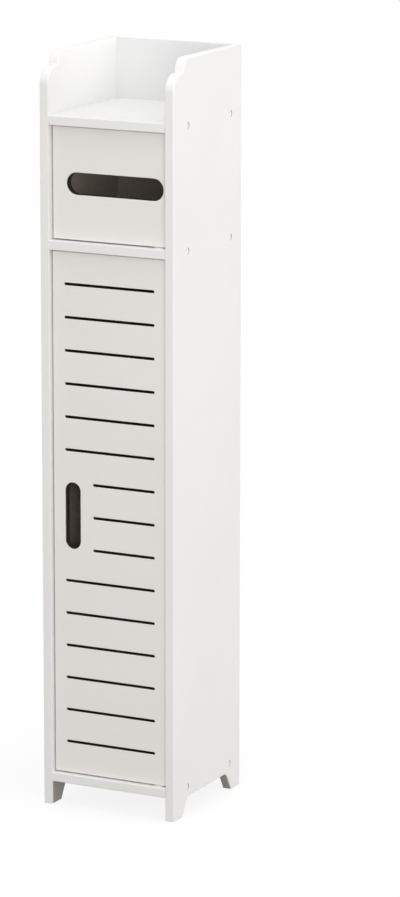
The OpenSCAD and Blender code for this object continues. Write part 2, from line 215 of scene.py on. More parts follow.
def board_surface(outer, holes, thickness, outer_rounds, hole_rounds=SHARP):
    """Each rim is its outline moved inward by the profile's inset, at the profile's depth.

    Flat faces between the rims close it. Gives points (u, v, depth) and lists of faces.
    Rounds are pairs of radii, in front and at the back."""
    loops = [(outer, outer_rounds)] + [(hole[::-1], hole_rounds) for hole in holes]
    points, rims, front_rings, back_rings, start = [], [], [], [], 0
    for loop, rounds in loops:
        profile = edge_profile(thickness, *rounds)
        flat = np.stack([moved_inward(loop, inset) for inset in profile[:, 0]])
        depth = np.broadcast_to(profile[:, 1, None, None], (*flat.shape[:2], 1))
        index = start + np.arange(flat.shape[0] * flat.shape[1]).reshape(flat.shape[:2])
        after = np.roll(index, -1, 1)
        rims.append(np.stack([index[:-1], index[1:], after[1:], after[:-1]], -1).reshape(-1, 4))
        points.append(np.concatenate([flat, depth], 2).reshape(-1, 3))
        front_rings.append(index[0])
        back_rings.append(index[-1])
        start += index.size
    points = np.concatenate(points)
    return points, [*rims, flat_cap(points, front_rings), flat_cap(points, back_rings)]


def flat_cap(points, rings):
    """Triangles between an outer ring and the rings of its holes."""
    corners = [[Vector((points[i, 0], points[i, 1], 0)) for i in ring] for ring in rings]
    return np.concatenate(rings)[np.array(tessellate_polygon(corners))]


plain = board_surface(rectangle(0, 0, 0.1, 0.2), [], 0.01, (0.001, 0.001))
print("a plain board has", len(plain[0]), "points and", sum(map(len, plain[1])), "faces")

# %% [markdown]
# ## From arrays to a piece
# Each piece becomes a mesh once, at its real place, with its object left at the origin. Doubles
# are merged and the normals are worked out again afterwards, because poles and turned parts are
# where a surface quietly ends up inside out. Cuts that cross a board, such as screw holes, are
# made by a Boolean modifier. It could stay live, but once its result is a plain mesh the cutters
# can go. Shading is smooth up to a limit angle, and weighted normals keep large flat faces truly
# flat beside their rounded edges.

# %% Put arrays into a mesh
MERGE = 0.001 * MM


def welded(mesh):
    """The mesh with doubles merged and faces turned outwards; tells how many edges are open."""
    work = bmesh.new()
    work.from_mesh(mesh)
    bmesh.ops.remove_doubles(work, verts=work.verts, dist=MERGE)
    bmesh.ops.recalc_face_normals(work, faces=work.faces)
    loose = sum(len(edge.link_faces) != 2 for edge in work.edges)
    work.to_mesh(mesh)
    work.free()
    if loose:
        print("  open edges in", mesh.name, loose)
    return mesh


def mesh_object(name, points, face_groups):
    """Object from points and groups of faces."""
    mesh = bpy.data.meshes.new(name)
    mesh.from_pydata(points.tolist(), [], [face for group in face_groups for face in group.tolist()])
    obj = bpy.data.objects.new(name, welded(mesh))
    bpy.context.scene.collection.objects.link(obj)
    return obj


def placed(surface, origin, across, up, inward, name):
    """Object from a board surface: origin + u across + v up + depth inward."""
    points, faces = surface
    return mesh_object(name, np.array(origin) + points @ np.array([across, up, inward], float), faces)


print(f"points closer than {MERGE / MM} mm are merged")


# %% Join and cut
SOLVER = "EXACT"


def joined(parts, name):
    """One object from one or more closed shells, each keeping its materials."""
    if len(parts) > 1:
        with bpy.context.temp_override(active_object=parts[0], selected_editable_objects=parts):
            bpy.ops.object.join()
    parts[0].name = parts[0].data.name = name
    return parts[0]


def carved(piece, cutters, operation="DIFFERENCE"):
    """The piece less its cutters, or joined with them, as a plain mesh."""
    cutter = joined(cutters, "cutter")
    step = piece.modifiers.new("cut", "BOOLEAN")
    step.operation, step.solver, step.object = operation, SOLVER, cutter
    mesh = bpy.data.meshes.new_from_object(piece.evaluated_get(bpy.context.evaluated_depsgraph_get()))
    piece.modifiers.clear()
    piece.data = welded(mesh)
    bpy.data.objects.remove(cutter)
    return piece


print("cuts use the", SOLVER.lower(), "solver")


# %% Dress a piece
CREASE = math.radians(38)


def dressed(piece, node, material=None):
    """Finishes a piece: material, shading, the body it rides on and the node it stands for."""
    if material:
        piece.data.materials.clear()
        piece.data.materials.append(material)
    piece.data.polygons.foreach_set("use_smooth", np.ones(len(piece.data.polygons), bool))
    piece.data.set_sharp_from_angle(angle=CREASE)
    piece.modifiers.new("weighted_normals", "WEIGHTED_NORMAL").keep_sharp = True
    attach(piece, frame["nodes"][node]["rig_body"])
    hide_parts(node)
    return piece


print(f"edges sharper than {math.degrees(CREASE):.0f} degrees stay creased")

# %% [markdown]
# ## Turned parts
# Pins, bushes, screws and nails are all turned, so one function makes them: a profile of radius
# and height spun round an axis. A Screw modifier would do the same from a drawn curve. With
# arrays the profile stays in numbers, and the same function makes the cutters for the holes.

# %% Lathe
TURNED_STEPS = 48


def along_axis(points, origin, axis):
    """Local points turned so that their z runs along the axis, and moved to the origin."""
    turn = np.array(Vector((0, 0, 1)).rotation_difference(Vector(axis)).to_matrix())
    return points @ turn.T + np.array(origin)


def ring_surface(grid):
    """Quads of a rows x columns grid whose columns close into rings; end rows shrink to poles."""
    index = np.arange(grid.shape[0] * grid.shape[1]).reshape(grid.shape[:2])
    after = np.roll(index, -1, 1)
    quads = np.stack([index[:-1], after[:-1], after[1:], index[1:]], -1)
    return grid.reshape(-1, 3), [quads.reshape(-1, 4)]


def spun(radius, height, steps):
    """x = r cos t, y = r sin t, z = h, t once round, for arrays of r and h by row and column."""
    t = np.linspace(0, 2 * np.pi, steps, endpoint=False)
    radius, height = np.broadcast_arrays(radius, height, np.zeros((1, steps)))[:2]
    return np.stack([radius * np.cos(t), radius * np.sin(t), height], -1)


def lathe(profile, origin, axis, name, steps=TURNED_STEPS):
    """Object spun from (radius, height) pairs."""
    profile = np.array(profile, float)
    points, faces = ring_surface(spun(profile[:, :1], profile[:, 1:], steps))
    return mesh_object(name, along_axis(points, origin, axis), faces)


print("a turned part has", TURNED_STEPS, "points round each row")

# %% [markdown]
# ## Painted board, inside and out
# The carcass is board under satin white paint. Up close it isn't one flat colour: the film has
# a fine orange-peel texture, the sheen changes a little from place to place, and the white
# drifts by about a percent. Noise on Object coordinates gives all three at real scale, since
# those coordinates are metres on the piece. A ready-made paint could be one value for colour and
# one for roughness, but light on such a surface looks like light on a plastic toy.

# %% Patterns for materials
DRIFT, SHEEN, SHADE_MOTTLE, PEEL, GRAIN = 9, 40, 260, 700, 900  # features per metre


def shader(name):
    """New node material, its node tree and its Principled node."""
    material = bpy.data.materials.new(name)
    material.use_nodes = True
    return material, material.node_tree, material.node_tree.nodes["Principled BSDF"]


def object_place(tree):
    """Object coordinates, which are metres in the cabinet's own frame."""
    return tree.nodes.new("ShaderNodeTexCoord").outputs["Object"]


def noise(tree, scale, detail=3):
    """Noise with so many features per metre and so many finer octaves on top of them."""
    pattern = tree.nodes.new("ShaderNodeTexNoise")
    pattern.inputs["Scale"].default_value = scale
    pattern.inputs["Detail"].default_value = detail
    tree.links.new(object_place(tree), pattern.inputs["Vector"])
    return pattern.outputs["Fac"]


def ramp(tree, value, start, stop, low, high):
    """Value mapped smoothly from start..stop onto low..high."""
    node = tree.nodes.new("ShaderNodeMapRange")
    node.interpolation_type = "SMOOTHSTEP"
    for socket, number in zip(("From Min", "From Max", "To Min", "To Max"), (start, stop, low, high)):
        node.inputs[socket].default_value = number
    tree.links.new(value, node.inputs["Value"])
    return node.outputs["Result"]


def spread(tree, value, low, high):
    """Noise, which mostly lies between 0.3 and 0.7, mapped onto low..high."""
    return ramp(tree, value, 0.3, 0.7, low, high)


print(f"drift in the paint is about {1000 / DRIFT:.0f} mm wide, its peel {1000 / PEEL:.1f} mm")


# %% Sums, mixes and bump
def maths(tree, operation, first, second):
    """Result of one Math node."""
    node = tree.nodes.new("ShaderNodeMath")
    node.operation = operation
    for socket, value in zip(node.inputs, (first, second)):
        if isinstance(value, (int, float)):
            socket.default_value = value
        else:
            tree.links.new(value, socket)
    return node.outputs[0]


def blended(tree, factor, first, second):
    """Mix of two colours, each a tuple or another node's output."""
    node = tree.nodes.new("ShaderNodeMix")
    node.data_type = "RGBA"
    tree.links.new(factor, node.inputs["Factor"])
    for socket, colour in ((node.inputs[6], first), (node.inputs[7], second)):
        if isinstance(colour, tuple):
            socket.default_value = (*colour, 1)
        else:
            tree.links.new(colour, socket)
    return node.outputs[2]


def bumped(tree, principled, value, height):
    """Bump of so many metres."""
    bump = tree.nodes.new("ShaderNodeBump")
    bump.inputs["Distance"].default_value = height
    tree.links.new(value, bump.inputs["Height"])
    tree.links.new(bump.outputs["Normal"], principled.inputs["Normal"])


print("helpers for sums, mixes and bump are ready")


# %% Paint
SATIN, EGGSHELL = (0.34, 0.44), (0.42, 0.52)  # lowest and highest roughness


def paint(name, colour, shade, roughness=SATIN, peel=0.02 * MM, zones=()):
    """Paint that drifts between two shades. In each zone it gives way to painted shade of its own."""
    material, tree, principled = shader(name)
    result = blended(tree, spread(tree, noise(tree, DRIFT, 2), 0, 1), colour, shade)
    # each zone mixes in a mottled darker colour: painted shade
    for mask_of, zone_shade in zones:
        mottle = spread(tree, noise(tree, SHADE_MOTTLE, 4), 0, 1)
        result = blended(tree, mask_of(tree), result, blended(tree, mottle, *zone_shade))
    tree.links.new(result, principled.inputs["Base Color"])
    tree.links.new(spread(tree, noise(tree, SHEEN), *roughness), principled.inputs["Roughness"])
    bumped(tree, principled, noise(tree, PEEL, 2), peel)
    return material


print("roughness of satin", SATIN, "and of eggshell", EGGSHELL)

# %% [markdown]
# ## Painted shade in the hollows
# Where little light gets in, the colours are darker. Just behind the doors the white runs in a
# little way, and beyond it the bays take a warmer grey: painted shade, so that they look dark
# through the slots. Under the bottom shelf and on the walls of the screw holes a brown-grey is
# painted shade too. Faces could be given materials of their own, but then a colour could only
# end at an edge of the mesh. Here each painted shade has a zone: a box of Object coordinates in
# which it takes over. The same boxes hold for every board, so one material serves the whole carcass.

# %% Zones of the carcass
# painted shade: the darker colour inside the bays, behind the closed doors
BAY_SHADE = ((0.50, 0.435, 0.39), (0.45, 0.39, 0.35))
# painted shade: the darker colour under the bottom shelf and on the walls of the screw holes
RECESS_SHADE = ((0.41, 0.37, 0.335), (0.37, 0.335, 0.30))


def inside_box(tree, lo, hi, before, after):
    """1 inside a box of Object coordinates; it fades to 0 over widths before lo and after hi."""
    split = tree.nodes.new("ShaderNodeSeparateXYZ")
    tree.links.new(object_place(tree), split.inputs["Vector"])
    mask = 1.0
    for axis in range(3):
        place = split.outputs[axis]
        rise = ramp(tree, place, lo[axis] - before[axis], lo[axis], 0, 1)
        fall = ramp(tree, place, hi[axis], hi[axis] + after[axis], 1, 0)
        mask = maths(tree, "MULTIPLY", maths(tree, "MULTIPLY", mask, rise), fall)
    return mask


def carcass_inside(tree):
    """The bays, from behind the closed doors to the back panel, where shade is painted."""
    shade_onset, crisp = 5 * MM, 0.5 * MM
    lo = (-BAY_HALF - MM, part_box("lower_door")[1].y + shade_onset, bay_floor - MM)
    hi = (BAY_HALF + MM, back_lo.y + MM, bay_ceiling + MM)
    return inside_box(tree, lo, hi, (crisp, shade_onset, crisp), (crisp, crisp, crisp))


def underneath(tree):
    """Painted shade below the bottom shelf: its underside, the feet's inner faces and the arches' cut."""
    skin, edge, fade, crisp = 1.2 * MM, 3 * MM, 2 * MM, 0.3 * MM
    lo = (-cabinet_hi.x + skin, FRONT + edge, -MM)
    hi = (cabinet_hi.x - skin, REAR - edge, bay_floor - BOARD + crisp)
    return inside_box(tree, lo, hi, (crisp, fade, crisp), (crisp, fade, crisp))


def screw_sinks(side):
    """Painted shade on the walls of the screw holes in one side panel, behind their white mouths."""
    def zone(tree):
        mouth, deep, edge = 0.3 * MM, 3 * MM, 5 * MM
        lo_x, hi_x = sorted((side * (cabinet_hi.x - mouth), side * (cabinet_hi.x - deep)))
        lo = (lo_x, FRONT + edge, bay_floor - BOARD)
        hi = (hi_x, REAR - edge, bay_ceiling + BOARD)
        sharp = (0.1 * MM,) * 3
        return inside_box(tree, lo, hi, sharp, sharp)

    return zone


# the zones below are painted shade: in the bays, under the bottom shelf and in the screw holes
body_paint = paint("body_paint", (0.87, 0.87, 0.86), (0.85, 0.85, 0.845),
                   zones=[(carcass_inside, BAY_SHADE), (underneath, RECESS_SHADE),
                          (screw_sinks(-1), RECESS_SHADE), (screw_sinks(1), RECESS_SHADE)])
# its zone is painted shade inside the bays
back_board = paint("back_board", (0.79, 0.795, 0.80), (0.77, 0.775, 0.78), EGGSHELL, 0.03 * MM,
                   zones=[(carcass_inside, BAY_SHADE)])
print("painted:", body_paint.name, back_board.name)

# %% [markdown]
# ## Nylon and metal
# The fittings are small, but a close look finds them: moulded nylon has a waxy, slightly
# mottled surface, zinc plate shows a fine grain, and a sintered magnet is matt and speckled.
# Plain values would do from a step away. The paint's own helpers, with other numbers, give each
# its grain at no more cost, because what differs between them is mostly scale and depth.

# %% Nylon, zinc, lacquer and magnet
def metal(name, colour, shade, roughness):
    """Plated steel: two close greys and a fine grain, which also varies the roughness."""
    material, tree, principled = shader(name)
    fine = noise(tree, GRAIN, 4)
    result = blended(tree, spread(tree, fine, 0, 1), colour, shade)
    tree.links.new(result, principled.inputs["Base Color"])
    principled.inputs["Metallic"].default_value = 1.0
    tree.links.new(spread(tree, fine, *roughness), principled.inputs["Roughness"])
    bumped(tree, principled, fine, 0.01 * MM)
    return material


SMOOTH_PEEL, GRITTY_PEEL = 0.01 * MM, 0.04 * MM
nylon = paint("nylon", (0.74, 0.74, 0.71), (0.71, 0.71, 0.68), (0.45, 0.55), SMOOTH_PEEL)
white_lacquer = paint("white_lacquer", (0.90, 0.90, 0.89), (0.88, 0.88, 0.87), (0.30, 0.40),
                      SMOOTH_PEEL)
magnet_face = paint("magnet_face", (0.030, 0.030, 0.032), (0.050, 0.050, 0.053), (0.50, 0.70),
                    GRITTY_PEEL)
zinc = metal("zinc", (0.62, 0.63, 0.65), (0.52, 0.53, 0.56), (0.28, 0.42))
print("fittings:", nylon.name, white_lacquer.name, magnet_face.name, zinc.name)

# %% [markdown]
# ## Holes for the shelf screws
# Each shelf is held by a pair of screws through each side. A screw's head lies in a counterbore
# a millimetre deep, whose mouth has the small chamfer that drill and paint leave. What is cut
# is the same shape as what goes in, with a little air round it. A dark dot in the paint would
# be quicker, but seen at a slant a real hole shows a crescent of its wall beside the head.

# %% Holes for screws
screws_lo, screws_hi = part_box("middle_shelf_screws")
AIR = 0.05 * MM  # play round what goes in
OVER = 1 * MM  # reach of a cutter past the surface
DRILL_SPARE = 0.3 * MM  # depth beyond the tip
HEAD_R = (screws_hi.z - screws_lo.z) / 2
SINK = cabinet_hi.x - screws_hi.x
SHANK_R = 1.75 * MM
SCREW_LENGTH = 35 * MM
MOUTH_CHAMFER = 0.3 * MM
SCREW_YS = (screws_lo.y + HEAD_R, screws_hi.y - HEAD_R)


def screw_hole(head_r, shank_r, length, sink, chamfer, origin, axis):
    """Cutter along the axis from a head's face: shank, 45 degree cone, counterbore and chamfer."""
    bottom = length + DRILL_SPARE
    shank_bore = shank_r + AIR
    head_bore = head_r + (AIR if sink else 0)
    shank = [(0, bottom), (shank_bore, bottom), (shank_bore, head_r - shank_bore), (head_r, 0)]
    counterbore = [(head_bore, 0), (head_bore, chamfer - sink)] if sink else []
    mouth = [(head_bore + chamfer + OVER, -sink - OVER), (0, -sink - OVER)]
    return lathe(shank + counterbore + mouth, origin, axis, "cutter")


def shelf_screw_places(shelf_name, sides=(-1, 1)):
    """Centre and inward direction of each screw head at the ends of a shelf."""
    lo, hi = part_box(shelf_name)
    return [((side * (cabinet_hi.x - SINK), y, (lo.z + hi.z) / 2), (-side, 0, 0))
            for side in sides for y in SCREW_YS]


def shelf_screw_holes(shelf_name, sides=(-1, 1)):
    """Cutters for those screws."""
    return [screw_hole(HEAD_R, SHANK_R, SCREW_LENGTH, SINK, MOUTH_CHAMFER, *place)
            for place in shelf_screw_places(shelf_name, sides)]


print(f"screw head {2 * HEAD_R / MM:.1f} mm across, {SINK / MM:.1f} mm deep")

# %% [markdown]
# ## Side panels
# Each side is one board. Its front upper corner is stepped: a quarter round, a small flat ledge
# and a second quarter round. Below, an arch between the feet leaves each foot slanted inside.
# The slant meets the top of the arch in a round that touches both, so its centre follows from
# the slant's angle: it lies one radius below the top and one radius off the slanted line.

# %% Outline of a side panel
UPPER_R, LOWER_R, LEDGE, STEP = 14 * MM, 18 * MM, 3 * MM, 1 * MM
FOOT_W, ARCH_H, ARCH_R, FOOT_SLANT = 20 * MM, 20 * MM, 10 * MM, math.radians(30)


def half_arch():
    """From the rear foot's inner corner up its slant and round to the top of the arch."""
    foot = REAR - FOOT_W
    reach = (ARCH_R + (ARCH_H - ARCH_R) * math.sin(FOOT_SLANT)) / math.cos(FOOT_SLANT)
    top_round = arc((foot - reach, ARCH_H - ARCH_R), ARCH_R, math.degrees(FOOT_SLANT), 90)
    return np.concatenate([[[foot, 0]], top_round])


def side_outline():
    """Depth and height, counter-clockwise from the front foot: arch, rear edge, top, shoulder."""
    run, drop = LOWER_R + LEDGE + UPPER_R, LOWER_R + STEP + UPPER_R
    return np.concatenate([
        [[FRONT, 0]], half_arch() * (-1, 1), half_arch()[::-1], [[REAR, 0], [REAR, HEIGHT]],
        arc((FRONT + run, HEIGHT - UPPER_R), UPPER_R, 90, 180),
        [[FRONT + run - UPPER_R, HEIGHT - drop + LOWER_R]],
        arc((FRONT + LOWER_R, HEIGHT - drop), LOWER_R, 90, 180)])


print("side outline has", len(side_outline()), "corners")

# %% Make both side panels
FACE_ROUND, BACK_ROUND = 1.0 * MM, 0.8 * MM
REBATE_PLAY = 0.5 * MM


def box_block(lo, hi, name, edge_round=0):
    """Block between two corners, with its front and rear edges rounded."""
    outline = rectangle(lo[0], lo[2], hi[0], hi[2])
    surface = board_surface(outline, [], hi[1] - lo[1], (edge_round, edge_round))
    return placed(surface, (0, lo[1], 0), (1, 0, 0), (0, 0, 1), (0, 1, 0), name)


def side_panel(side, name):
    """Board with its outer face at depth 0, a rebate for the back panel and the screw holes."""
    surface = board_surface(side_outline(), [], BOARD, (FACE_ROUND, BACK_ROUND))
    panel = placed(surface, (side * cabinet_hi.x, 0, 0), (0, 1, 0), (0, 0, 1), (-side, 0, 0), name)
    lo_x, hi_x = sorted((side * (BAY_HALF - 2 * OVER), side * (back_hi.x + REBATE_PLAY)))
    rebate = box_block((lo_x, back_lo.y, -OVER), (hi_x, REAR + OVER, HEIGHT + OVER), "rebate")
    holes = [hole for shelf_name in SHELVES for hole in shelf_screw_holes(shelf_name, (side,))]
    return dressed(carved(panel, [rebate, *holes]), name, body_paint)


side_panels = [side_panel(-1, "left_side_panel"), side_panel(1, "right_side_panel")]
for panel in side_panels:
    print(panel.name, len(panel.data.vertices), "points")

# %% [markdown]
# ## Shelves
# A shelf is the same board turned flat, and only its front edge shows, so only that is rounded.
# A cube with a bevel would round all its edges and leave gaps at the sides. So the section is
# drawn in depth and height, and runs straight across between the sides.

# %% Holes in the shelves
BARREL_LENGTH, BARREL_R = 4.5 * MM, 4 * MM
SMALL_HEAD_R, SMALL_SHANK_R, SMALL_LENGTH = 2.5 * MM, 1.25 * MM, 8 * MM


def upright(name):
    """1 for a pivot part at the top of a door, which points up, and -1 for one at the bottom."""
    return 1 if "_top_" in name else -1


def bush_hole(name):
    """Cutter round a bush's barrel, chamfered and reaching out past its flange."""
    lo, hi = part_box(name)
    up = upright(name)
    seat = hi.z - BARREL_LENGTH if up > 0 else lo.z + BARREL_LENGTH
    r, chamfer = BARREL_R + AIR, 0.3 * MM
    profile = [(0, -OVER), (r + chamfer + OVER, -OVER), (r, chamfer), (r, BARREL_LENGTH),
               (0, BARREL_LENGTH)]
    return lathe(profile, ((lo.x + hi.x) / 2, (lo.y + hi.y) / 2, seat), (0, 0, up), "cutter")


def ear_screw_places(bay):
    """Centre and direction of the two screws in the ears of a catch."""
    lo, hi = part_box(f"{bay}_catch_screws")
    return [((x, (lo.y + hi.y) / 2, lo.z), (0, 0, 1)) for x in (lo.x + SMALL_HEAD_R, hi.x - SMALL_HEAD_R)]


def small_screw_holes(places):
    """Cutters for the small countersunk screws."""
    return [screw_hole(SMALL_HEAD_R, SMALL_SHANK_R, SMALL_LENGTH, 0, 0, *place) for place in places]


print("screws of the catches:", len(BAYS) * len(ear_screw_places("upper")))


# %% Make the shelves
def shelf_section(lo, hi):
    """Counter-clockwise section with the front edge rounded above and below."""
    r = FACE_ROUND
    return np.concatenate([arc((lo.y + r, hi.z - r), r, 90, 180), arc((lo.y + r, lo.z + r), r, 180, 270),
                           [[hi.y, lo.z], [hi.y, hi.z]]])


def shelf(name, bushes, catches):
    """Board between the sides, with its screw holes, bush holes and catch screw holes."""
    lo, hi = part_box(name)
    surface = board_surface(shelf_section(lo, hi), [], hi.x - lo.x, SHARP)
    board = placed(surface, (lo.x, 0, 0), (0, 1, 0), (0, 0, 1), (1, 0, 0), name)
    cuts = shelf_screw_holes(name) + [bush_hole(bush) for bush in bushes]
    cuts += [hole for bay in catches for hole in small_screw_holes(ear_screw_places(bay))]
    return dressed(carved(board, cuts), name, body_paint)


shelf("bottom_shelf", ["lower_door_bottom_bush"], [])
shelf("middle_shelf", ["lower_door_top_bush", "upper_door_bottom_bush"], ["lower"])
shelf("top_shelf", ["upper_door_top_bush"], ["upper"])
print("shelves:", ", ".join(SHELVES))

# %% [markdown]
# ## Back panel
# The back is a thin board that lies in rebates behind the sides and over the shelves' rear
# edges. A plane would look the same from the front, but the edges show from above: they are
# barely broken, as on sheet material.

# %% Make the back panel
SHEET_ROUND = 0.3 * MM
back_surface = board_surface(rectangle(back_lo.x, back_lo.z, back_hi.x, back_hi.z), [],
                             back_hi.y - back_lo.y, (SHEET_ROUND, SHEET_ROUND))
back_panel = placed(back_surface, (0, back_lo.y, 0), (1, 0, 0), (0, 0, 1), (0, 1, 0), "back_panel")
dressed(back_panel, "back_panel", back_board)
print(f"back panel {(back_hi.y - back_lo.y) / MM:.1f} mm thick")

# %% [markdown]
# ## Doors
# Both doors are boards with holes that go right through: the lower one has fifteen thin slots
# and an upright finger hole, and the three slots beside the hole start further right. The upper
# one has the long slot for the paper. Boolean cuts would leave sharp rims, so these holes are
# loops of the board's own outline, with a round of their own. Just inside the rims the walls are
# painted almost black, as painted shade, so that the holes read as dark slits. That is one more
# zone. It begins a little behind the face and stays clear of the door's outer edges.

# %% Door sizes and finish
SLOT_COUNT, SLOT_H, SLOT_MARGIN = 15, 3 * MM, 13.5 * MM
GRIP_W, GRIP_H, GRIP_CLEAR = 18 * MM, 71 * MM, 14.5 * MM
PAPER_H, PAPER_LEFT, PAPER_RIGHT = 23 * MM, 16 * MM, 4 * MM
DOOR_FACE = {"lower_door": ((0.85, 0.83, 0.81), (0.835, 0.815, 0.795)),
             "upper_door": ((0.84, 0.825, 0.80), (0.83, 0.815, 0.79))}
# painted shade: near-black walls just inside the holes of the doors
SLOT_SHADE = ((0.065, 0.042, 0.035), (0.040, 0.028, 0.024))


def door_paint(name):
    """Slightly warm white, with painted shade on the walls of the holes."""
    lo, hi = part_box(name)
    painted_depth, rear_skin, clear = 1.7 * MM, 0.45 * MM, 2 * MM
    fade = (MM, 0.4 * MM, MM)

    def hole_walls(tree):
        inner_lo = (lo.x + clear, lo.y + painted_depth, lo.z + clear)
        return inside_box(tree, inner_lo, (hi.x - clear, hi.y - rear_skin, hi.z - clear), fade, fade)

    return paint(f"{name}_paint", *DOOR_FACE[name], zones=[(hole_walls, SLOT_SHADE)])


print(f"{SLOT_COUNT} slots and a finger hole of {GRIP_W / MM:.0f} by {GRIP_H / MM:.0f} mm")


# %% Holes in the doors
PIN_SEAT = 20 * MM


def louvre_slots(lo, hi):
    """Evenly spaced slots; those beside the finger hole start past it."""
    pitch = (middle_lo.z - bay_floor) / (SLOT_COUNT + 1)
    grip_z = (bay_floor + middle_lo.z) / 2
    left, right = lo.x + SLOT_MARGIN, hi.x - SLOT_MARGIN
    slots = []
    for z in bay_floor + pitch * np.arange(1, SLOT_COUNT + 1):
        beside_grip = abs(z - grip_z) < GRIP_H / 2 + SLOT_H
        start = left + (GRIP_W + GRIP_CLEAR if beside_grip else 0)
        slots.append(long_slot(start, z - SLOT_H / 2, right, z + SLOT_H / 2))
    grip = long_slot(left, grip_z - GRIP_H / 2, left + GRIP_W, grip_z + GRIP_H / 2)
    return [*slots, grip]


def paper_slot(lo, hi):
    """One long slot, halfway up the upper bay."""
    z = (middle_hi.z + bay_ceiling) / 2
    return [long_slot(lo.x + PAPER_LEFT, z - PAPER_H / 2, hi.x - PAPER_RIGHT, z + PAPER_H / 2)]


def pin_base(name):
    """Centre of the buried end of a pivot pin."""
    lo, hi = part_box(name)
    return (lo.x + hi.x) / 2, (lo.y + hi.y) / 2, lo.z if upright(name) > 0 else hi.z


def pin_bore(name):
    """Cutter for the hole that a pivot pin is pressed into, chamfered at the door's end."""
    lo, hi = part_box(name)
    r, chamfer = (hi.x - lo.x) / 2 + AIR, 0.4 * MM
    profile = [(0, 0), (r, 0), (r, PIN_SEAT - chamfer), (r + chamfer + OVER, PIN_SEAT + OVER),
               (0, PIN_SEAT + OVER)]
    return lathe(profile, pin_base(name), (0, 0, upright(name)), "cutter")


def strike_screw_place(bay):
    """Centre and direction of the screw in a strike plate."""
    lo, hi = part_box(f"{bay}_strike_screw")
    return ((lo.x + hi.x) / 2, hi.y, (lo.z + hi.z) / 2), (0, -1, 0)


# %% Make the doors
SLOT_ROUNDS, PAPER_ROUNDS = (0.5 * MM, 0.3 * MM), (0.9 * MM, 0.6 * MM)


def door(bay, holes_of, hole_rounds):
    """Board with its holes, the bores for its pins and the hole for its strike screw."""
    name = f"{bay}_door"
    lo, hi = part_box(name)
    surface = board_surface(rectangle(lo.x, lo.z, hi.x, hi.z), holes_of(lo, hi), hi.y - lo.y,
                            (FACE_ROUND, BACK_ROUND), hole_rounds)
    board = placed(surface, (0, lo.y, 0), (1, 0, 0), (0, 0, 1), (0, 1, 0), name)
    cuts = [pin_bore(f"{name}_{end}_pin") for end in ("bottom", "top")]
    cuts += small_screw_holes([strike_screw_place(bay)])
    return dressed(carved(board, cuts), name, door_paint(name))


lower_door = door("lower", louvre_slots, SLOT_ROUNDS)
upper_door = door("upper", paper_slot, PAPER_ROUNDS)
print("doors:", len(lower_door.data.vertices), "and", len(upper_door.data.vertices), "points")

# %% [markdown]
# ## Screws
# A thread could be a bump on a cylinder, but its outline would stay straight. Here a wood screw
# is one grid of rows and angles. Its rows run outward over the face, where the cross recess is
# pressed in, then down the cone, and along the thread. The thread is a triangular ridge that
# climbs one pitch per turn, so its height depends on the row and the angle together, and it
# fades out at the neck and at the point.

# %% Screw surface
FACE_ROWS, ROWS_PER_TURN = 22, 6


def cross_recess(x, y, head_r):
    """Depth of a cross: along each arm it falls off from the centre, across it ends at a wall."""
    length, half_width, wall = 0.56 * head_r, 0.15 * head_r, 0.05 * head_r

    def arm(along, across):
        floor = np.clip(1.35 - np.abs(along) / length, 0, 1)
        return floor * np.clip((half_width - np.abs(across)) / wall + 0.5, 0, 1)

    return 0.5 * head_r * np.maximum(arm(x, y), arm(y, x))


def screw_grid(head_r, shank_r, length, steps=TURNED_STEPS):
    """Radius and height by row and angle: recessed face, cone, then r = root + ridge(h/pitch - t)."""
    t = np.linspace(0, 1, steps, endpoint=False)
    face_r = np.linspace(0, head_r, FACE_ROWS)[:, None] * np.ones(steps)
    angle = 2 * np.pi * t
    face_h = cross_recess(face_r * np.cos(angle), face_r * np.sin(angle), head_r)
    cone = head_r - shank_r
    pitch, point, root = 0.8 * shank_r, 4 * shank_r, 0.72 * shank_r
    rows = int((length - cone) / pitch * ROWS_PER_TURN)
    h = np.linspace(cone, length, rows)[:, None]
    ridge = 1 - 2 * np.abs((h / pitch - t) % 1 - 0.5)
    taper = np.clip((length - h) / point, 0, 1)
    neck = np.clip((h - cone - 2 * pitch) / pitch, 0, 1)
    thread = root + (shank_r - root) * ridge ** 1.5
    body_r = (shank_r * (1 - neck) + thread * neck) * np.sqrt(taper)
    return np.concatenate([face_r, body_r]), np.concatenate([face_h, h + 0 * t])


print("threads have", ROWS_PER_TURN, "rows to a turn")

# %% Make the screws
FIRST_TURN, NEXT_TURN = 0.3, 0.7  # radians, so that no two crosses lie the same way


def screws(name, places, head_r, shank_r, length, material):
    """One piece from equal screws at their places, each turned round its own axis."""
    radius, height = screw_grid(head_r, shank_r, length)
    points, faces = ring_surface(spun(radius, height, radius.shape[1]))
    made = []
    for i, place in enumerate(places):
        turn = FIRST_TURN + NEXT_TURN * i
        c, s = math.cos(turn), math.sin(turn)
        turned = points @ np.array([[c, s, 0], [-s, c, 0], [0, 0, 1]])
        made.append(mesh_object(name, along_axis(turned, *place), faces))
    return dressed(joined(made, name), name, material)


for shelf_name in SHELVES:
    screws(f"{shelf_name}_screws", shelf_screw_places(shelf_name), HEAD_R, SHANK_R, SCREW_LENGTH,
           white_lacquer)
for bay in BAYS:
    for name, places in ((f"{bay}_catch_screws", ear_screw_places(bay)),
                         (f"{bay}_strike_screw", [strike_screw_place(bay)])):
        screws(name, places, SMALL_HEAD_R, SMALL_SHANK_R, SMALL_LENGTH, zinc)
print("screws in their holes")

# %% [markdown]
# ## Nails
# The back panel is nailed on. A nail is a turned profile: a thin domed head, a shank and a
# point. The shelves take three each and the sides five each, evenly spaced. Only the heads
# show, and discs would do for those, but a whole nail tells where the panel is held.

# %% Make the nails
nails_lo, nails_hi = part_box("back_panel_nails")
NAIL_HEAD_R, NAIL_R, NAIL_LENGTH = 1.8 * MM, 0.7 * MM, 16 * MM
HEAD_T = nails_hi.y - back_hi.y
SHELF_NAILS, SIDE_NAILS, NAIL_EDGE, NAIL_STEPS = 3, 5, 20 * MM, 24


